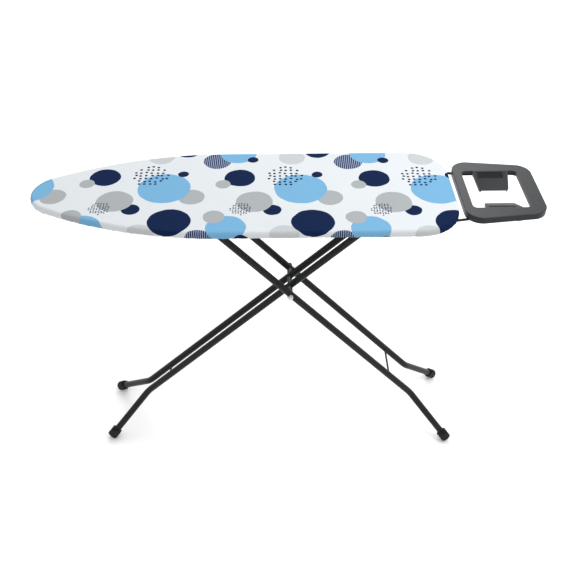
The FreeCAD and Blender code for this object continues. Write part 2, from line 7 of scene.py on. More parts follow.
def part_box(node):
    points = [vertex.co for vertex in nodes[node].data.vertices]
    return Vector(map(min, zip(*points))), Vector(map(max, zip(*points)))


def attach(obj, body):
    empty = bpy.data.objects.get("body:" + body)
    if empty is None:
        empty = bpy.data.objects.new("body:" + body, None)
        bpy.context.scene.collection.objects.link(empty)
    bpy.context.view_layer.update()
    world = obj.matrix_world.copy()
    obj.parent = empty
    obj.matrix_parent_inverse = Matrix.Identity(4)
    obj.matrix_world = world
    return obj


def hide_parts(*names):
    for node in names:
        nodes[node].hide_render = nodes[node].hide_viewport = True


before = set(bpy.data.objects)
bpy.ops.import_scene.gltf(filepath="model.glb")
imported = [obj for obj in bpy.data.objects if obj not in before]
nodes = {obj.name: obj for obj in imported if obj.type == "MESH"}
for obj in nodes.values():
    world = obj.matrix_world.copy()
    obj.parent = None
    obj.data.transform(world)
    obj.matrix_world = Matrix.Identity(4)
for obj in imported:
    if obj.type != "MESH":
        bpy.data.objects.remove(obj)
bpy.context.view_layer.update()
mm = 0.001
print("frame loaded,", len(nodes), "nodes")


# a value in a node tree, so that shader and geometry maths read as plain Python
class Flow:
    def __init__(self, tree, socket):
        self.tree = tree
        self.socket = socket

    def calc(self, operation, *values):
        return self.tree.node("ShaderNodeMath", dict(enumerate(values)), operation=operation)

    def __add__(self, other):
        return self.calc("ADD", self, other)

    def __sub__(self, other):
        return self.calc("SUBTRACT", self, other)

    def __mul__(self, other):
        return self.calc("MULTIPLY", self, other)

    def __truediv__(self, other):
        return self.calc("DIVIDE", self, other)

    def __radd__(self, other):
        return self.calc("ADD", other, self)

    def __rsub__(self, other):
        return self.calc("SUBTRACT", other, self)

    def __mod__(self, other):
        return self.calc("FLOORED_MODULO", self, other)

    def below(self, other):
        return self.calc("LESS_THAN", self, other)

    def above(self, other):
        return self.calc("GREATER_THAN", self, other)

    def floor(self):
        return self.calc("FLOOR", self)

    def sine(self):
        return self.calc("SINE", self)

    def arctangent(self):
        return self.calc("ARCTANGENT", self)

    def root(self):
        return self.calc("SQRT", self)

    # vectors go through Vector Math
    def vector(self, operation, *values, out=0):
        inputs = dict(enumerate((self,) + values))
        return self.tree.node("ShaderNodeVectorMath", inputs, out=out, operation=operation)

    def long(self):
        return self.vector("LENGTH", out=1)

    def part(self, axis):
        return self.tree.node("ShaderNodeSeparateXYZ", {0: self}, out=axis)


class Tree:
    def __init__(self, nodeTree):
        self.nodeTree = nodeTree

    # settings are set first, then the sockets get their values or links
    def node(self, kind, inputs=None, out=0, **settings):
        made = self.nodeTree.nodes.new(kind)
        for key, value in settings.items():
            setattr(made, key, value)
        for key, value in (inputs or {}).items():
            if isinstance(value, Flow):
                self.nodeTree.links.new(value.socket, made.inputs[key])
            else:
                made.inputs[key].default_value = value
        return Flow(self, made.outputs[out]) if out is not None else None


# a surface finish, read on Object coordinates unless it says otherwise
class Finish(Tree):
    def __init__(self, name):
        self.material = bpy.data.materials.new(name)
        self.material.use_nodes = True
        super().__init__(self.material.node_tree)
        self.nodeTree.nodes.clear()
        self.place = self.node("ShaderNodeTexCoord", out=3)

    def mix(self, factor, a, b):
        return self.node("ShaderNodeMix", {0: factor, 6: a, 7: b}, out=2, data_type="RGBA")

    def noise(self, scale, detail=2.0, rough=0.5, place=None):
        inputs = {"Vector": place or self.place, "Scale": scale, "Detail": detail, "Roughness": rough}
        return self.node("ShaderNodeTexNoise", inputs)

    def stretched(self, x, y, z):
        return self.node("ShaderNodeMapping", {"Vector": self.place, "Scale": (x, y, z)})

    def bump(self, height, distance, normal=None):
        inputs = {"Height": height, "Distance": distance, "Strength": 1.0}
        if normal:
            inputs["Normal"] = normal
        return self.node("ShaderNodeBump", inputs)

    def shade(self, colour, roughness, normal=None, **fixed):
        inputs = {"Base Color": colour, "Roughness": roughness}
        if normal:
            inputs["Normal"] = normal
        for key, value in fixed.items():
            inputs[key.replace("_", " ")] = value
        shader = self.node("ShaderNodeBsdfPrincipled", inputs)
        self.node("ShaderNodeOutputMaterial", {"Surface": shader}, out=None)
        return self.material


def rgb(r, g, b):
    return (r, g, b, 1.0)


# a geometry tree with one base geometry and named sizes
class Growth(Tree):
    def __init__(self, name, sizes):
        super().__init__(bpy.data.node_groups.new(name, "GeometryNodeTree"))
        sockets = self.nodeTree.interface
        sockets.new_socket("Base", in_out="INPUT", socket_type="NodeSocketGeometry")
        sockets.new_socket("Grown", in_out="OUTPUT", socket_type="NodeSocketGeometry")
        for size in sizes:
            sockets.new_socket(size, in_out="INPUT", socket_type="NodeSocketFloat")
        self.start = self.nodeTree.nodes.new("NodeGroupInput")

    def given(self, name):
        return Flow(self, self.start.outputs[name])

    def vectorOf(self, x, y, z):
        return self.node("ShaderNodeCombineXYZ", {0: x, 1: y, 2: z})

    # the tree's end: instances made real, in one material
    def close(self, geometry, material):
        real = self.node("GeometryNodeRealizeInstances", {0: geometry})
        painted = self.node("GeometryNodeSetMaterial", {"Geometry": real, "Material": material})
        self.node("NodeGroupOutput", {"Grown": painted}, out=None)

    # grows on a base mesh and leaves a plain mesh
    def grow(self, name, baseMesh, sizes):
        carrier = addObject(name, baseMesh)
        modifier = carrier.modifiers.new("growth", "NODES")
        modifier.node_group = self.nodeTree
        for item in self.nodeTree.interface.items_tree:
            if item.name in sizes:
                modifier[item.identifier] = sizes[item.name]
        graph = bpy.context.evaluated_depsgraph_get()
        grown = bpy.data.meshes.new_from_object(carrier.evaluated_get(graph), depsgraph=graph)
        carrier.modifiers.remove(modifier)
        carrier.data = grown
        return carrier


def addObject(name, mesh):
    made = bpy.data.objects.new(name, mesh)
    bpy.context.scene.collection.objects.link(made)
    return made


def addMesh(name, points, faces, edges=()):
    mesh = bpy.data.meshes.new(name)
    mesh.from_pydata(points, list(edges), faces)
    return mesh


def smooth(piece):
    piece.data.polygons.foreach_set("use_smooth", [True] * len(piece.data.polygons))


# materials

coverPrint = {
    "repeat": Vector((357.5, -8)) * mm,      # along the board, a little off square
    "crossRepeat": 470 * mm,
    "stripe": 5.3 * mm,
    "stripeFrom": 0.40,                    # a light line shows where the stripe's wave is above this
    "lightLine": rgb(0.30, 0.36, 0.50),
    "ground": (rgb(0.550, 0.577, 0.600), rgb(0.576, 0.602, 0.622)),
    "groundScale": 9.0,
    "wobble": 5 * mm,                      # how far the flat discs' outlines wander
    "wobbleScale": 28.0,
    "dotJitter": 0.35,
    "inks": {
        "navy": rgb(0.0050, 0.0145, 0.0530),
        "sky": rgb(0.150, 0.340, 0.525),
        "grey": rgb(0.315, 0.334, 0.346),
        "pale": rgb(0.430, 0.452, 0.462),
    },
    # x, y and radius in mm, the ink, and what fills the disc; later discs are printed over earlier ones
    "discs": [
        (-186, 146, 38, "navy", "stripes"), (-129, 187, 50, "sky", "flat"),
        (-89, 153, 15, "navy", "flat"),
        (-123, 61, 41, "navy", "flat"), (-167, 31, 20, "grey", "flat"),
        (-39, -91, 23, "navy", "flat"), (-84, -53, 47, "grey", "flat"), (-118, -85, 27, "navy", "fineDots"),
        (111, -37, 34, "grey", "flat"), (37, 6, 69, "sky", "flat"), (-4, 66, 48, "navy", "bigDots"),
        (83, 74, 14.5, "navy", "flat"), (-10, -195, 37, "pale", "flat"), (62, -146, 54, "navy", "flat"),
        (-223, -210, 36, "navy", "stripes"), (-154, -166, 50, "sky", "flat"),
        (-186, -119, 27, "grey", "flat"),
        (-116, -212, 20, "navy", "flat"), (18, 163, 36, "pale", "flat"), (89, 197, 36, "navy", "flat"),
    ],
    # pitch and radius of the dots in mm
    "dots": {"fineDots": (7.0, 2.2), "bigDots": (14.4, 3.8)},
}


clothSurface = {
    "thread": 0.55 * mm,
    "printedWeave": 0.05 * mm,
    "plainWeave": 0.06 * mm,
    "crease": 0.5 * mm,
    "creaseScale": 70.0,
}


def clothWeave(finish, place):
    thread = 2 * math.pi / clothSurface["thread"]
    warp = (place.part(0) * thread).sine()
    weft = (place.part(1) * thread).sine()
    return warp * weft


# printed cotton: a pale ground with overlapping discs, laid out on the cloth's own map
def printedCotton():
    finish = Finish("printedCotton")
    cloth = finish.node("ShaderNodeUVMap", uv_map="cloth")
    turn = math.atan2(coverPrint["repeat"].y, coverPrint["repeat"].x)
    level = finish.node("ShaderNodeVectorRotate", {"Vector": cloth, "Angle": -turn}, rotation_type="Z_AXIS")
    wobble = finish.node("ShaderNodeTexNoise",
                         {"Vector": level, "Scale": coverPrint["wobbleScale"], "Detail": 1.0}, out=1)
    wobble = wobble.vector("SUBTRACT", (0.5, 0.5, 0.5))
    reach = (coverPrint["wobble"], coverPrint["wobble"], 0)
    drawn = finish.node("ShaderNodeVectorMath", {0: wobble, 1: reach, 2: level}, operation="MULTIPLY_ADD")
    halfRepeat = (coverPrint["repeat"].length / 2, coverPrint["crossRepeat"] / 2, 1.0)
    mottle = finish.noise(coverPrint["groundScale"], 3.0, place=cloth)
    colour = finish.mix(mottle, *coverPrint["ground"])
    stripes = (level.part(0) * (2 * math.pi / coverPrint["stripe"])).sine().above(coverPrint["stripeFrom"])
    for x, y, radius, ink, fill in coverPrint["discs"]:
        centre = Matrix.Rotation(-turn, 2) @ (Vector((x, y)) * mm)
        source = drawn if fill in ("flat", "stripes") else level
        toCentre = source.vector("SUBTRACT", (centre.x, centre.y, 0.0))
        local = toCentre.vector("WRAP", halfRepeat, tuple(-size for size in halfRepeat))
        paint = coverPrint["inks"][ink]
        if fill in coverPrint["dots"]:
            pitch, dotRadius = coverPrint["dots"][fill]
            dotCentre = finish.node("ShaderNodeTexVoronoi",
                                    {"Vector": local, "Scale": 1 / (pitch * mm),
                                     "Randomness": coverPrint["dotJitter"]}, out=2, voronoi_dimensions="2D")
            inDot = local.vector("DISTANCE", dotCentre, out=1).below(dotRadius * mm)
            mask = inDot * dotCentre.long().below(radius * mm)
        else:
            mask = local.vector("MULTIPLY", (1, 1, 0)).long().below(radius * mm)
        if fill == "stripes":
            paint = finish.mix(stripes, paint, coverPrint["lightLine"])
        colour = finish.mix(mask, colour, paint)
    cottonBump = finish.bump(clothWeave(finish, cloth), clothSurface["printedWeave"])
    creased = finish.noise(clothSurface["creaseScale"], 4.0, 0.6, cloth)
    creases = finish.bump(creased, clothSurface["crease"], cottonBump)
    roughness = 0.78 + finish.noise(300.0, 2.0, place=cloth) * 0.14
    return finish.shade(colour, roughness, creases, Specular_IOR_Level=0.03)


# what each plain finish is made of: colours from dark to light, the scale of the slow patches of
# colour, the scale and depth of the grain, and the roughness with what the grain adds to it
finishLooks = {
    "plainCotton": {
        "dark": rgb(0.70, 0.72, 0.74), "light": rgb(0.80, 0.82, 0.84), "patch": 40.0, "rough": 0.9},
    "softFelt": {
        "dark": rgb(0.56, 0.55, 0.51), "light": rgb(0.82, 0.81, 0.77), "grain": 420.0, "depth": 0.5 * mm,
        "rough": 0.95},
    "powderCoat": {
        "dark": rgb(0.46, 0.48, 0.50), "light": rgb(0.58, 0.60, 0.62), "patch": 14.0,
        "grain": 1400.0, "depth": 0.12 * mm, "rough": 0.42, "spread": 0.2},
    "glossPaint": {
        "dark": rgb(0.0095, 0.0105, 0.0120), "light": rgb(0.0150, 0.0165, 0.0185), "patch": 22.0,
        "grain": 260.0, "depth": 0.05 * mm, "rough": 0.24, "spread": 0.16, "rubs": (30.0, 900.0, 240.0)},
    "zincPlate": {
        "dark": rgb(0.56, 0.58, 0.61), "light": rgb(0.68, 0.67, 0.63), "patch": 60.0,
        "depth": 0.03 * mm, "rough": 0.26, "spread": 0.2, "rolled": (90.0, 1500.0, 1500.0)},
    "springWire": {
        "dark": rgb(0.30, 0.30, 0.31), "light": rgb(0.46, 0.46, 0.47), "grain": 900.0, "depth": 0.02 * mm,
        "rough": 0.3, "spread": 0.15},
    "slatePlastic": {
        "dark": rgb(0.0135, 0.0165, 0.0190), "light": rgb(0.0180, 0.0215, 0.0240), "patch": 16.0,
        "grain": 1100.0, "depth": 0.08 * mm, "rough": 0.30, "spread": 0.14},
    "blackPlastic": {
        "dark": rgb(0.010, 0.0105, 0.0115), "light": rgb(0.020, 0.021, 0.023), "patch": 30.0,
        "grain": 900.0, "depth": 0.08 * mm, "rough": 0.36, "spread": 0.2},
    "blackRubber": {
        "dark": rgb(0.011, 0.011, 0.012), "light": rgb(0.085, 0.083, 0.080), "grain": 700.0,
        "depth": 0.12 * mm, "rough": 0.62, "spread": 0.2, "dust": 90.0, "dustShare": 0.35,
        "dustHeight": 30 * mm},
    "threadCotton": {
        "dark": rgb(0.72, 0.75, 0.79), "light": rgb(0.88, 0.90, 0.92), "grain": 1600.0,
        "depth": 0.05 * mm, "rough": 0.7},
}


# the back of the cover's cloth
def plainCotton():
    look = finishLooks["plainCotton"]
    finish = Finish("plainCotton")
    cloth = finish.node("ShaderNodeUVMap", uv_map="cloth")
    colour = finish.mix(finish.noise(look["patch"], 3.0, place=cloth), look["dark"], look["light"])
    normal = finish.bump(clothWeave(finish, cloth), clothSurface["plainWeave"])
    return finish.shade(colour, look["rough"], normal, Specular_IOR_Level=0.25)


def softFelt():
    look = finishLooks["softFelt"]
    finish = Finish("softFelt")
    fibre = finish.noise(look["grain"], 5.0, 0.7)
    colour = finish.mix(fibre, look["dark"], look["light"])
    normal = finish.bump(fibre, look["depth"])
    return finish.shade(colour, look["rough"], normal, Specular_IOR_Level=0.15, Sheen_Weight=0.2)


# powder coat on the expanded steel top
def powderCoat():
    look = finishLooks["powderCoat"]
    finish = Finish("powderCoat")
    grain = finish.noise(look["grain"])
    colour = finish.mix(finish.noise(look["patch"]), look["dark"], look["light"])
    normal = finish.bump(grain, look["depth"])
    return finish.shade(colour, look["rough"] + grain * look["spread"], normal, Specular_IOR_Level=0.5)


# gloss black stoved paint with a little orange peel and fine rub marks
def glossPaint():
    look = finishLooks["glossPaint"]
    finish = Finish("glossPaint")
    peel = finish.bump(finish.noise(look["grain"]), look["depth"])
    rubs = finish.noise(1.0, 4.0, 0.6, finish.stretched(*look["rubs"]))
    colour = finish.mix(finish.noise(look["patch"]), look["dark"], look["light"])
    return finish.shade(colour, look["rough"] + rubs * look["spread"], peel, Specular_IOR_Level=0.16)


# zinc plate: fine rolled lines, faint blue and yellow bloom
def zincPlate():
    look = finishLooks["zincPlate"]
    finish = Finish("zincPlate")
    lines = finish.noise(1.0, 3.0, 0.6, finish.stretched(*look["rolled"]))
    colour = finish.mix(finish.noise(look["patch"]), look["dark"], look["light"])
    normal = finish.bump(lines, look["depth"])
    return finish.shade(colour, look["rough"] + lines * look["spread"], normal, Metallic=1.0)


def springWire():
    look = finishLooks["springWire"]
    finish = Finish("springWire")
    lines = finish.noise(look["grain"], 3.0)
    colour = finish.mix(lines, look["dark"], look["light"])
    normal = finish.bump(lines, look["depth"])
    return finish.shade(colour, look["rough"] + lines * look["spread"], normal, Metallic=1.0)


# moulded slate grey plastic with a satin spark grain
def slatePlastic():
    look = finishLooks["slatePlastic"]
    finish = Finish("slatePlastic")
    grain = finish.noise(look["grain"], 3.0, 0.6)
    colour = finish.mix(finish.noise(look["patch"]), look["dark"], look["light"])
    normal = finish.bump(grain, look["depth"])
    return finish.shade(colour, look["rough"] + grain * look["spread"], normal, Specular_IOR_Level=0.24)


def blackPlastic():
    look = finishLooks["blackPlastic"]
    finish = Finish("blackPlastic")
    grain = finish.noise(look["grain"], 3.0)
    colour = finish.mix(finish.noise(look["patch"]), look["dark"], look["light"])
    normal = finish.bump(grain, look["depth"])
    return finish.shade(colour, look["rough"] + grain * look["spread"], normal, Specular_IOR_Level=0.45)


# rubber, with a dusty bloom low down, next to the floor
def blackRubber():
    look = finishLooks["blackRubber"]
    finish = Finish("blackRubber")
    grain = finish.noise(look["grain"], 3.0)
    dust = finish.noise(look["dust"], 4.0, 0.7) * finish.place.part(2).below(look["dustHeight"])
    colour = finish.mix(dust * look["dustShare"], look["dark"], look["light"])
    normal = finish.bump(grain, look["depth"])
    return finish.shade(colour, look["rough"] + grain * look["spread"], normal, Specular_IOR_Level=0.14)


def threadCotton():
    look = finishLooks["threadCotton"]
    finish = Finish("threadCotton")
    strand = finish.noise(look["grain"])
    colour = finish.mix(strand, look["dark"], look["light"])
    return finish.shade(colour, look["rough"], finish.bump(strand, look["depth"]))


finishes = {
    "cover_fabric": printedCotton(),
    "pad_felt": softFelt(),
    "steel_mesh": powderCoat(),
    "dark_paint": glossPaint(),
    "zinc_steel": zincPlate(),
    "spring_steel": springWire(),
    "slate_plastic": slatePlastic(),
    "black_plastic": blackPlastic(),
    "black_rubber": blackRubber(),
}
for node in nodes.values():
    for materialSlot in node.material_slots:
        materialSlot.material = finishes[materialSlot.material.name.split(".")[0]]
print("finishes made,", len(finishes))


# the board's outline: round nose, long tapering arcs, parallel sides, round tail corners

boardShape = {
    "noseRadius": 82 * mm,
    "taperLength": 500 * mm,
    "tailCorner": 112 * mm,
    "midFromNose": 22 * mm,        # the mid-line ends this far inside the nose's centre
    "midFromTail": 26 * mm,        # and this far inside the tail corners' centres
}
coverLow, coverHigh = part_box("cover")


def outlineRuns():
    nose, taper, corner = boardShape["noseRadius"], boardShape["taperLength"], boardShape["tailCorner"]
    half = coverHigh.y
    taperRadius = ((taper - nose) ** 2 + half ** 2 - nose ** 2) / (2 * (half - nose))
    noseCentre = Vector((coverLow.x + nose, 0))
    taperCentre = Vector((coverLow.x + taper, half - taperRadius))
    toNose = noseCentre - taperCentre
    meet = math.atan2(toNose.y, toNose.x)
    tailCentre = Vector((coverHigh.x - corner, half - corner))

    def arc(centre, radius, first, last):
        def at(t):
            angle = first + (last - first) * t
            out = Vector((math.cos(angle), math.sin(angle)))
            return centre + out * radius, out
        return radius * abs(last - first), at

    def line(first, last, out):
        return (last - first).length, lambda t: (first.lerp(last, t), out)

    return [
        arc(noseCentre, nose, math.pi, meet),
        arc(taperCentre, taperRadius, meet, math.pi / 2),
        line(Vector((taperCentre.x, half)), Vector((tailCentre.x, half)), Vector((0, 1))),
        arc(tailCentre, corner, math.pi / 2, 0),
        line(Vector((coverHigh.x, tailCentre.y)), Vector((coverHigh.x, 0)), Vector((1, 0))),
    ]


# evenly spaced stations all the way round: place, outward direction and distance from the nose
def walkOutline(step):
    runs = outlineRuns()
    halfWay = sum(length for length, at in runs)
    count = 2 * round(halfWay / step)
    stations = []
    for index in range(count):
        along = 2 * halfWay * index / count
        mirrored = along > halfWay
        left = 2 * halfWay - along if mirrored else along
        for length, at in runs:
            if left <= length or at is runs[-1][1]:
                break
            left -= length
        place, out = at(min(left / length, 1.0))
        if mirrored:
            place, out = Vector((place.x, -place.y)), Vector((out.x, -out.y))
        stations.append((place, out, along))
    return stations


weldGap = 0.01 * mm               # points closer than this are one point


# a skin of rings round the board: each row gives a point for a station, and both sides meet on the mid-line
def ringSkin(name, stations, rows, cloth=None):
    count = len(stations)
    points = [row(station) for row in rows for station in stations]
    faces = []
    for r in range(len(rows) - 1):
        for i in range(count):
            j = (i + 1) % count
            faces.append((r * count + i, (r + 1) * count + i, (r + 1) * count + j, r * count + j))
    mesh = addMesh(name, points, faces)
    if cloth:
        onCloth = [row(station) for row in cloth for station in stations]
        layer = mesh.uv_layers.new(name="cloth")
        for loop in mesh.loops:
            layer.data[loop.index].uv = onCloth[loop.vertex_index]
    work = bmesh.new()
    work.from_mesh(mesh)
    bmesh.ops.remove_doubles(work, verts=work.verts, dist=weldGap)
    bmesh.ops.dissolve_degenerate(work, edges=work.edges, dist=weldGap)
    work.to_mesh(mesh)
    work.free()
    return mesh


# where a station's inner rows end, on the mid-line
def midPoint(place):
    start = coverLow.x + boardShape["noseRadius"] + boardShape["midFromNose"]
    end = coverHigh.x - boardShape["tailCorner"] - boardShape["midFromTail"]
    return Vector((min(max(place.x, start), end), 0))


def inward(station, inset, share, z):
    place, out, along = station
    ring = place - out * inset
    flat = ring.lerp(midPoint(ring), share)
    return flat.x, flat.y, z


# cover: printed cloth stretched over the pad, gathered under the rim

coverCloth = {
    "step": 4.3 * mm,              # between stations
    "thickness": 0.8 * mm,
    "topEdge": 8 * mm,             # radius over the pad's edge
    "lowEdge": 3.4 * mm,
    "hem": 18 * mm,                # turned under the rim
    "ringInset": 62 * mm,          # inside this the rows run straight to the mid-line
    "rows": {"hem": 7, "turn": 3, "wall": 9, "edge": 7},
    "topRows": 15,
    "crowding": 1.6,               # above 1 the top rows crowd towards the edge
    "middleRows": 9,
    "topWave": 0.35 * mm,
    "waveSpan": (90 * mm, 70 * mm),
}

# gathers stand at the hem, where the drawn-in cloth is too long; pulls run along the upper edge
coverFolds = {
    "gather": 1.3 * mm,            # depth
    "gatherFrom": 6 * mm,          # across the cloth, measured from the upper edge
    "gatherOver": 16 * mm,
    "gatherPitch": 8 * mm,
    "gatherReach": 60 * mm,
    "finePitch": 3.6 * mm,
    "fineShare": 0.5,
    "gatherLift": 0.25,
    "pull": 0.7 * mm,              # depth
    "pullWithin": 15 * mm,
    "pullLength": 70 * mm,
    "pullPitch": 4.6 * mm,
    "pullLift": 0.3,
}
noiseLayers = {"gather": 3.1, "fine": 7.7, "pull": 1.7, "wave": 5.0, "felt": 9.0}


def noiseAt(x, y, layer):
    return noise.noise(Vector((x, y, noiseLayers[layer])))


# how far the cloth stands off its plain shape, at a distance round the board and across the cloth
def coverFold(along, across):
    size = coverFolds
    low = min(max((across - size["gatherFrom"]) / size["gatherOver"], 0.0), 1.0)
    gathers = noiseAt(along / size["gatherPitch"], across / size["gatherReach"], "gather")
    gathers += size["fineShare"] * noiseAt(along / size["finePitch"], 0, "fine")
    nearEdge = math.exp(-(across / size["pullWithin"]) ** 2)
    pulls = noiseAt(along / size["pullLength"], across / size["pullPitch"], "pull")
    gatherFold = size["gather"] * low * (gathers + size["gatherLift"])
    return gatherFold + size["pull"] * nearEdge * (pulls + size["pullLift"])


# the slight unevenness of cloth over a soft pad, never above the plain top
def topWave(x, y):
    spanX, spanY = coverCloth["waveSpan"]
    return coverCloth["topWave"] * (noiseAt(x / spanX, y / spanY, "wave") - 1)


# one ring of the cover: where it runs in space, and where it lies on the flat cloth
def coverRow(kind, share):
    size = coverCloth
    low, high = coverLow, coverHigh
    radius, lowRadius = size["topEdge"], size["lowEdge"]
    arcLength = radius * math.pi / 2
    wall = (high.z - radius) - (low.z + lowRadius)

    def shape(station):
        place, out, along = station
        if kind in ("middle", "top"):
            inset, toMiddle = size["ringInset"], share
            if kind == "top":
                inset, toMiddle = radius + (inset - radius) * (1 - share), 0.0
            x, y, z = inward(station, inset, toMiddle, high.z)
            fold = coverFold(along, radius - inset) if kind == "top" else 0.0
            return (x, y, z + topWave(x, y) + fold), (x, y)
        if kind == "edge":
            across = arcLength * share
            angle = share * math.pi / 2
            direction = (math.sin(angle), math.cos(angle))
            offset, z = -radius + radius * direction[0], high.z - radius + radius * direction[1]
        elif kind == "wall":
            across = arcLength + wall * share
            direction = (1.0, 0.0)
            offset, z = 0.0, high.z - radius - wall * share
        elif kind == "turn":
            across = arcLength + wall + lowRadius * math.pi / 2 * share
            angle = share * math.pi / 2
            direction = (math.cos(angle), -math.sin(angle))
            offset, z = lowRadius * (direction[0] - 1), low.z + lowRadius + lowRadius * direction[1]
        else:
            under = (size["hem"] - lowRadius) * share
            across = arcLength + wall + lowRadius * math.pi / 2 + under
            direction = (0.0, -1.0)
            offset, z = -lowRadius - under, low.z
        fold = coverFold(along, across)
        if kind == "edge":
            z += topWave(place.x, place.y) * (1 - share)
        point = place + out * (offset + direction[0] * fold)
        onCloth = place + out * (across - radius)
        return (point.x, point.y, z + direction[1] * fold), (onCloth.x, onCloth.y)

    return lambda station: shape(station)[0], lambda station: shape(station)[1]


def coverRows():
    rows = []
    for kind, count in coverCloth["rows"].items():
        rows += [coverRow(kind, 1 - i / count) for i in range(count)]
    top, middle = coverCloth["topRows"], coverCloth["middleRows"]
    rows += [coverRow("top", 1 - (i / top) ** coverCloth["crowding"]) for i in range(top)]
    rows += [coverRow("middle", i / middle) for i in range(middle + 1)]
    return rows


def makeCover():
    stations = walkOutline(coverCloth["step"])
    rows = coverRows()
    mesh = ringSkin("printed_cover", stations, [row for row, cloth in rows], [cloth for row, cloth in rows])
    cover = addObject("printed_cover", mesh)
    smooth(cover)
    mesh.materials.append(finishes["cover_fabric"])
    mesh.materials.append(plainCotton())
    wall = cover.modifiers.new("thickness", "SOLIDIFY")
    wall.thickness = coverCloth["thickness"]
    wall.offset = -1.0
    wall.material_offset = 1
    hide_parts("cover")
    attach(cover, "board")


makeCover()


# pad: a thick felt that is a little crowned, between the expanded top and the cover

feltPad = {
    "step": 9 * mm,                # between stations
    "edge": 5 * mm,
    "gap": 0.2 * mm,               # over the expanded top
    "inset": 3.4 * mm,
    "underCover": 1.9 * mm,
    "ringInset": 62 * mm,
    "ringStep": 11 * mm,
    "ringRows": 6,
    "middleRows": 8,
    "roundSteps": 8,
    "crown": 0.4 * mm,
    "crownSpan": (50 * mm, 40 * mm),
}


def makePad():
    size = feltPad
    low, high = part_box("underlay_pad")
    bottom, top = low.z + size["gap"], coverHigh.z - coverCloth["thickness"] - size["underCover"]
    half = (top - bottom) / 2
    spanX, spanY = size["crownSpan"]

    def row(inset, share, z):
        def shape(station):
            x, y, level = inward(station, inset, share, z)
            crown = size["crown"] * noiseAt(x / spanX, y / spanY, "felt") if z > bottom + half else 0.0
            return x, y, level - abs(crown)
        return shape

    inset, ringStep = size["ringInset"], size["ringStep"]
    rings, middle, steps = size["ringRows"], size["middleRows"], size["roundSteps"]
    rows = [row(inset, 1 - i / middle, bottom) for i in range(middle)]
    rows += [row(inset - i * ringStep, 0, bottom) for i in range(rings)]
    for i in range(steps + 1):
        angle = math.pi * i / steps
        edgeInset = size["inset"] + size["edge"] * (1 - math.sin(angle))
        rows.append(row(edgeInset, 0, bottom + half * (1 - math.cos(angle))))
    rows += [row(inset - (rings - 1 - i) * ringStep, 0, top) for i in range(rings)]
    rows += [row(inset, (i + 1) / middle, top) for i in range(middle)]
    mesh = ringSkin("felt_pad", walkOutline(size["step"]), rows)
    pad = addObject("felt_pad", mesh)
    smooth(pad)
    mesh.materials.append(finishes["pad_felt"])
    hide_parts("underlay_pad")
    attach(pad, "board")
    print("pad made,", len(mesh.polygons), "faces")


makePad()


# expanded steel top: slit and stretched sheet, every strand tilted the way the tool leaves it

expandedTop = {
    "longWay": 24 * mm,
    "shortWay": 10.5 * mm,
    "strandWidth": 2.1 * mm,
    "strandThick": 0.8 * mm,
    "tilt": 0.42,
    "edgeGap": 9 * mm,
    "outlineStep": 20 * mm,
    "strandOverlap": 0.6,          # of the strand's width, where two strands meet
    "rayStart": 50 * mm,           # the ray that asks if a strand is inside the outline
    "rayLength": 2.0,
}


def expandedGrowth():
    names = ["longWay", "shortWay", "strandWidth", "strandThick", "tilt", "length", "width"]
    grow = Growth("expandedSteel", names)
    longWay, shortWay, strandWidth, strandThick, tilt, length, width = [grow.given(name) for name in names]
    halfLong, halfShort = longWay / 2, shortWay / 2
    countX, countY = (length / halfLong).floor(), (width / halfShort).floor()
    grid = grow.node("GeometryNodeMeshGrid", {
        "Size X": (countX - 1) * halfLong, "Size Y": (countY - 1) * halfShort,
        "Vertices X": countX, "Vertices Y": countY})
    above = grow.vectorOf(0, 0, expandedTop["rayStart"])
    place = grow.node("GeometryNodeInputPosition").vector("ADD", above)
    inside = grow.node("GeometryNodeRaycast", {
        "Target Geometry": grow.given("Base"), "Source Position": place,
        "Ray Direction": (0, 0, -1), "Ray Length": expandedTop["rayLength"]})
    index = grow.node("GeometryNodeInputIndex")
    turned = ((index / countY).floor() + index % countY) % 2
    sign = 1 - turned * 2
    slope = (shortWay / longWay).arctangent()
    strandLength = (halfLong * halfLong + halfShort * halfShort).root()
    strandReach = strandLength + strandWidth * expandedTop["strandOverlap"]
    strandSize = grow.vectorOf(strandReach, strandWidth, strandThick)
    strand = grow.node("GeometryNodeMeshCube", {"Size": strandSize})
    turn = grow.vectorOf(tilt * sign, 0, slope * sign)
    points = grow.node("GeometryNodeMeshToPoints", {"Mesh": grid, "Selection": inside})
    copies = grow.node("GeometryNodeInstanceOnPoints",
                       {"Points": points, "Instance": strand, "Rotation": turn})
    return grow, copies


def makeExpandedTop():
    size = expandedTop
    low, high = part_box("mesh_top")
    middle = (low + high) / 2
    outline = [place - out * size["edgeGap"] for place, out, along in walkOutline(size["outlineStep"])]
    base = addMesh("outline", [(p.x - middle.x, p.y, 0) for p in outline], [list(range(len(outline)))])
    grow, copies = expandedGrowth()
    grow.close(copies, finishes["steel_mesh"])
    sizes = {key: size[key] for key in ("longWay", "shortWay", "strandWidth", "strandThick", "tilt")}
    sizes["length"], sizes["width"] = high.x - low.x, high.y - low.y
    top = grow.grow("expanded_top", base, sizes)
    top.data.transform(Matrix.Translation(middle))
    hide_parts("mesh_top")
    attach(top, "board")
    print("expanded top made,", len(top.data.polygons), "faces")


makeExpandedTop()


# beads on a path: stitches in a hem, or the ripples of a weld

beadSizes = {
    "hemStitch": {
        "spacing": 3.4 * mm, "beadLength": 2.5 * mm, "beadWidth": 0.55 * mm, "beadHeight": 0.45 * mm},
    "weld": {
        "spacing": 1.5 * mm, "beadLength": 2.4 * mm, "beadWidth": 3.2 * mm, "beadHeight": 1.8 * mm},
}
beadFacets = {"Segments": 8, "Rings": 5, "Radius": 0.5}


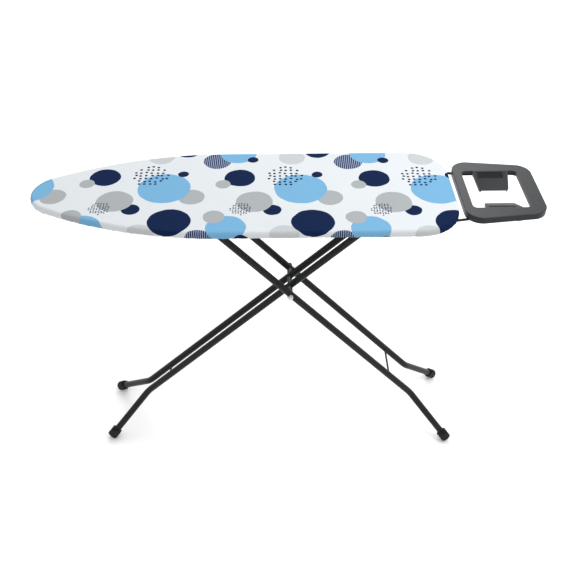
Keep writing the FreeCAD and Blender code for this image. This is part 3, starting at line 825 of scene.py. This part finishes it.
def beadGrowth(material):
    grow = Growth("beadsOnPath", ["spacing", "beadLength", "beadWidth", "beadHeight"])
    path = grow.node("GeometryNodeMeshToCurve", {"Mesh": grow.given("Base")})
    spaced = {"Curve": path, "Length": grow.given("spacing")}
    even = grow.node("GeometryNodeResampleCurve", spaced, mode="LENGTH")
    ahead = grow.node("GeometryNodeInputTangent")
    turn = grow.node("FunctionNodeAlignRotationToVector", {"Vector": ahead}, axis="X")
    bead = grow.node("GeometryNodeMeshUVSphere", beadFacets)
    scale = grow.vectorOf(grow.given("beadLength"), grow.given("beadWidth"), grow.given("beadHeight"))
    copies = grow.node("GeometryNodeInstanceOnPoints",
                       {"Points": even, "Instance": bead, "Rotation": turn, "Scale": scale})
    grow.close(copies, material)
    return grow


# one mesh of open or closed lines
def pathMesh(name, lines, closed):
    points, edges = [], []
    for line in lines:
        first = len(points)
        points += line
        edges += [(first + i, first + i + 1) for i in range(len(line) - 1)]
        if closed:
            edges.append((len(points) - 1, first))
    return addMesh(name, points, [], edges)


hemSeam = {"across": 0.62, "below": 0.15 * mm, "step": 3 * mm}    # across is a share of the hem


def makeHemStitches():
    seam, onCloth = coverRow("hem", hemSeam["across"])
    drop = Vector((0, 0, -hemSeam["below"]))
    line = [Vector(seam(station)) + drop for station in walkOutline(hemSeam["step"])]
    path = pathMesh("seam", [line], True)
    stitches = beadGrowth(threadCotton()).grow("hem_stitches", path, beadSizes["hemStitch"])
    smooth(stitches)
    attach(stitches, "board")
    print("hem stitches made,", len(stitches.data.polygons), "faces")


makeHemStitches()


# welds: round the brace ends on the legs, and where each crossbar meets the rim

weldPlaces = {
    "fromBraceEnd": 1.6 * mm,
    "ringPoints": 24,
    "inFromCover": 14.4 * mm,      # the rim's inner wall
    "belowBar": 0.1 * mm,
    "besideMiddle": 30 * mm,
    "step": 2 * mm,
}


def ringLine(centre, radius):
    line = []
    for i in range(weldPlaces["ringPoints"]):
        angle = 2 * math.pi * i / weldPlaces["ringPoints"]
        line.append((centre.x + radius * math.cos(angle), centre.y, centre.z + radius * math.sin(angle)))
    return line


def braceWelds(brace):
    low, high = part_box(brace)
    middle, radius = (low + high) / 2, (high.z - low.z) / 2
    back = weldPlaces["fromBraceEnd"]
    return [ringLine(Vector((middle.x, y, middle.z)), radius) for y in (low.y + back, high.y - back)]


def crossbarWelds():
    stations = walkOutline(weldPlaces["step"])
    lines = []
    for bar in [name for name in nodes if name.startswith("crossbar")]:
        low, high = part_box(bar)
        level = low.z - weldPlaces["belowBar"]
        for side in (1, -1):
            wall = [place - out * weldPlaces["inFromCover"] for place, out, along in stations
                    if place.y * side > weldPlaces["besideMiddle"]]
            lines.append([(point.x, point.y, level) for point in wall if low.x < point.x < high.x])
    return lines


def makeWelds():
    grow = beadGrowth(finishes["dark_paint"])
    plan = [("inner_welds", braceWelds("inner_brace"), True, "inner_leg"),
            ("outer_welds", braceWelds("outer_brace"), True, "outer_leg"),
            ("rim_welds", crossbarWelds(), False, "board")]
    for name, lines, closed, body in plan:
        welds = grow.grow(name, pathMesh(name + "_path", lines, closed), beadSizes["weld"])
        smooth(welds)
        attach(welds, body)
    print("welds made")


makeWelds()


# the faces of a closed tube made of rings of points
def tubeFaces(rings, sides):
    faces = []
    for i in range(rings - 1):
        for k in range(sides):
            n = (k + 1) % sides
            faces.append((i * sides + k, i * sides + n, (i + 1) * sides + n, (i + 1) * sides + k))
    faces.append(tuple(reversed(range(sides))))
    faces.append(tuple((rings - 1) * sides + k for k in range(sides)))
    return faces


# round wire along a list of points, with closed ends
def roundWire(name, line, radius, sides=10):
    points = []
    turned = None
    for i, here in enumerate(line):
        ahead = (line[min(i + 1, len(line) - 1)] - line[max(i - 1, 0)]).normalized()
        if turned is None:
            turned = ahead.orthogonal().normalized()
        turned = (turned - ahead * turned.dot(ahead)).normalized()
        across = ahead.cross(turned)
        for k in range(sides):
            angle = 2 * math.pi * k / sides
            points.append(here + (turned * math.cos(angle) + across * math.sin(angle)) * radius)
    return addMesh(name, points, tubeFaces(len(line), sides))


latchSpring = {"wire": 0.55 * mm, "turns": 11, "coilRadius": 3.7 * mm, "leg": 11 * mm, "perTurn": 20}


# torsion spring: a close coil round the latch pin with two straight legs
def makeLatchSpring():
    size = latchSpring
    low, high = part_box("latch_spring")
    middle = (low + high) / 2
    radius, half = size["coilRadius"], (high.y - low.y) / 2 - size["wire"]
    line = []
    count = size["turns"] * size["perTurn"]
    for i in range(count + 1):
        angle = 2 * math.pi * i / size["perTurn"]
        line.append(Vector((middle.x - radius * math.sin(angle), -half + 2 * half * i / count,
                            middle.z - radius * math.cos(angle))))
    line.insert(0, line[0] + Vector((size["leg"], 0, 0)))
    line.append(line[-1] - Vector((size["leg"], 0, 0)))
    spring = addObject("torsion_spring", roundWire("torsion_spring", line, size["wire"]))
    smooth(spring)
    spring.data.materials.append(finishes["spring_steel"])
    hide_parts("latch_spring")
    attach(spring, "board")
    print("latch spring made")


makeLatchSpring()


# lever grip: turned along the lever's own line, with finger grooves

grip = {
    "grooves": 4,
    "grooveDepth": 0.7 * mm,
    "grooveFrom": 0.1,             # share of the length left plain at each end
    "endRound": 3.6 * mm,
    "sides": 40,
    "steps": 72,
    "settleTurns": 6,
}


# middle, direction and the two ends of the long axis that a node's corners settle on
def longAxis(corners):
    middle = sum(corners, Vector()) / len(corners)
    farthest = max(corners, key=lambda corner: (corner - middle).length) - middle
    side = [corner for corner in corners if (corner - middle).dot(farthest) > 0]
    ahead = sum(side, Vector()) / len(side) - middle
    for _ in range(grip["settleTurns"]):
        pulls = [(corner - middle) * (corner - middle).dot(ahead) for corner in corners]
        ahead = sum(pulls, Vector()).normalized()
    reach = [(corner - middle).dot(ahead) for corner in corners]
    return middle, ahead, min(reach), max(reach)


def gripRadius(share, toEnd, radius):
    shrink = 1 - min(toEnd / grip["endRound"], 1)
    rounded = grip["endRound"] * (1 - math.sqrt(max(1 - shrink ** 2, 0)))
    plain = grip["grooveFrom"]
    wave = 1.0
    if plain < share < 1 - plain:
        wave = math.cos(2 * math.pi * grip["grooves"] * (share - plain) / (1 - 2 * plain))
    return radius - rounded - grip["grooveDepth"] * (1 - wave) / 2


def makeGrip():
    corners = [vertex.co for vertex in nodes["lever_grip"].data.vertices]
    middle, ahead, start, end = longAxis(corners)
    offAxis = [(corner - middle) - ahead * (corner - middle).dot(ahead) for corner in corners]
    radius = max(offset.length for offset in offAxis)
    turned = ahead.orthogonal().normalized()
    across = ahead.cross(turned)
    points = []
    sides, steps = grip["sides"], grip["steps"]
    for i in range(steps + 1):
        share = i / steps
        along = start + (end - start) * share
        ring = gripRadius(share, min(along - start, end - along), radius)
        for k in range(sides):
            angle = 2 * math.pi * k / sides
            out = turned * math.cos(angle) + across * math.sin(angle)
            points.append(middle + ahead * along + out * ring)
    piece = addObject("grip_moulding", addMesh("grip_moulding", points, tubeFaces(steps + 1, sides)))
    smooth(piece)
    piece.data.materials.append(finishes["black_plastic"])
    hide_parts("lever_grip")
    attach(piece, "latch")
    print("grip made")


makeGrip()


# iron rest: the moulded frame with its edges rolled over

trayEdge = {"width": 1.0 * mm, "segments": 2, "from": math.radians(38), "flat": math.radians(2)}


def makeTray():
    work = bmesh.new()
    work.from_mesh(nodes["iron_rest_tray"].data)
    bmesh.ops.remove_doubles(work, verts=work.verts, dist=weldGap)
    bmesh.ops.dissolve_limit(work, angle_limit=trayEdge["flat"], verts=work.verts, edges=work.edges)
    work.verts.index_update()
    points = [vertex.co.copy() for vertex in work.verts]
    faces = [[vertex.index for vertex in face.verts] for face in work.faces]
    work.free()
    tray = addObject("rest_moulding", addMesh("rest_moulding", points, faces))
    smooth(tray)
    rolled = tray.modifiers.new("rolledEdges", "BEVEL")
    rolled.width = trayEdge["width"]
    rolled.segments = trayEdge["segments"]
    rolled.limit_method = "ANGLE"
    rolled.angle_limit = trayEdge["from"]
    flats = tray.modifiers.new("flatFaces", "WEIGHTED_NORMAL")
    flats.keep_sharp = True
    graph = bpy.context.evaluated_depsgraph_get()
    mesh = bpy.data.meshes.new_from_object(tray.evaluated_get(graph), depsgraph=graph)
    tray.modifiers.clear()
    tray.data = mesh
    mesh.materials.append(finishes["slate_plastic"])
    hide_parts("iron_rest_tray")
    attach(tray, "board")
    print("iron rest made,", len(mesh.polygons), "faces")


makeTray()


# setting: pale floor, white surround, soft lights and the camera

setting = {
    "cameraPlace": Vector((-0.04592, -1.79091, 2.00887)),
    "cameraTilt": math.radians(50.06),
    "cameraTurn": math.radians(-1.81),
    "cameraRoll": math.radians(0.43),
    "lens": 50.31,
    "floorRadius": 9.0,
    "floorSides": 96,
    "floorLevel": -0.3 * mm,
    "surround": 0.95,
    # name, place, aimed at, width, watts
    "lamps": [
        ("behindAbove", (0.2, 3.0, 3.1), (0.1, 0.0, 0.7), 3.0, 75.0),
        ("tailSide", (1.5, -0.3, 2.5), (0.5, 0.0, 0.8), 1.2, 22.0),
    ],
}


def paleFloor():
    finish = Finish("paleFloor")
    cloudy = finish.noise(1.5, 2.0)
    colour = finish.mix(cloudy, rgb(0.95, 0.95, 0.95), rgb(0.97, 0.97, 0.97))
    return finish.shade(colour, 0.9, Specular_IOR_Level=0.1)


def makeSetting():
    scene = bpy.context.scene
    scene.view_settings.view_transform = "Standard"
    count = setting["floorSides"]
    angles = [2 * math.pi * i / count for i in range(count)]
    ring = [(setting["floorRadius"] * math.cos(angle), setting["floorRadius"] * math.sin(angle),
             setting["floorLevel"]) for angle in angles]
    floor = addObject("floor", addMesh("floor", ring, [list(range(count))]))
    floor.data.materials.append(paleFloor())

    world = bpy.data.worlds.new("whiteSurround")
    world.use_nodes = True
    back = world.node_tree.nodes["Background"]
    back.inputs["Color"].default_value = rgb(1, 1, 1)
    back.inputs["Strength"].default_value = setting["surround"]
    scene.world = world

    for name, place, target, width, watts in setting["lamps"]:
        data = bpy.data.lights.new(name, "AREA")
        data.shape = "SQUARE"
        data.size = width
        data.energy = watts
        lamp = addObject(name, data)
        lamp.location = place
        lamp.rotation_euler = (Vector(target) - Vector(place)).to_track_quat("-Z", "Y").to_euler()

    data = bpy.data.cameras.new("view")
    data.lens = setting["lens"]
    data.sensor_width = 36.0
    camera = addObject("view", data)
    turned = Euler((setting["cameraTilt"], 0, setting["cameraTurn"])).to_matrix()
    camera.matrix_world = Matrix.Translation(setting["cameraPlace"]) @ (
        turned @ Matrix.Rotation(setting["cameraRoll"], 3, "Z")).to_4x4()
    scene.camera = camera


makeSetting()
